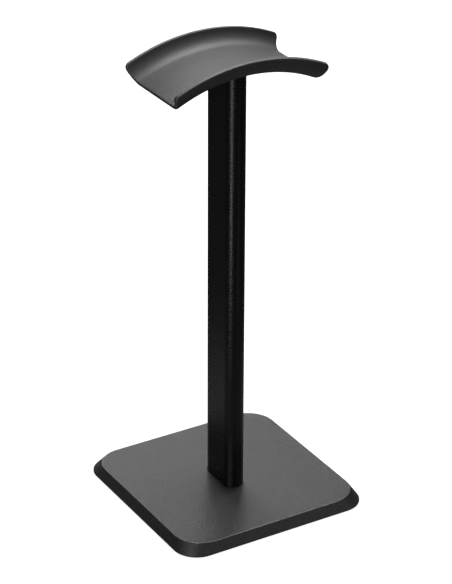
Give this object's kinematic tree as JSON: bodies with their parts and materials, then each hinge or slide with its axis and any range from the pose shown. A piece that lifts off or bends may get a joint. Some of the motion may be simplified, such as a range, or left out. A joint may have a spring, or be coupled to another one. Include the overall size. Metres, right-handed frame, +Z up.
{
  "type": "headphone stand",
  "caption": "Free-standing headphone stand: weighted square base with sloped sides, slim upright flat-oval post and an arched trough that holds the headband.",
  "frame": {"origin": "on the surface the stand rests on, under the middle of the base", "axes": "+Z up along the post; the saddle's arch runs along X, from side to side of the headband; its trough runs along Y, the post's deeper side"},
  "size_m": [0.12, 0.12, 0.2726],
  "materials": {
    "base_plastic": "black moulded ABS, fine even grain, satin",
    "plate_plastic": "black moulded ABS, fine grain, matte",
    "weight_steel": "bare cold-rolled steel sheet, zinc plated",
    "foot_rubber": "black matte rubber",
    "plate_screw_steel": "black oxide steel",
    "post_screw_steel": "zinc-plated steel",
    "post_aluminium": "black powder coat with a fine speckle, semi-gloss",
    "mount_nylon": "black glass-filled nylon",
    "saddle_tpu": "dark grey-black soft TPU, matte with very fine grain"
  },
  "bodies": {
    "root": {"base_bottom_plate": "plate_plastic", "base_cover": "base_plastic", "counterweight": "weight_steel", "foot_back_left": "foot_rubber", "foot_back_right": "foot_rubber", "foot_front_left": "foot_rubber", "foot_front_right": "foot_rubber", "plate_screw_back_left": "plate_screw_steel", "plate_screw_back_right": "plate_screw_steel", "plate_screw_front_left": "plate_screw_steel", "plate_screw_front_right": "plate_screw_steel", "post": "post_aluminium", "post_screw_back": "post_screw_steel", "post_screw_front": "post_screw_steel", "saddle": "saddle_tpu", "saddle_mount": "mount_nylon"}
  },
  "joints": []
}
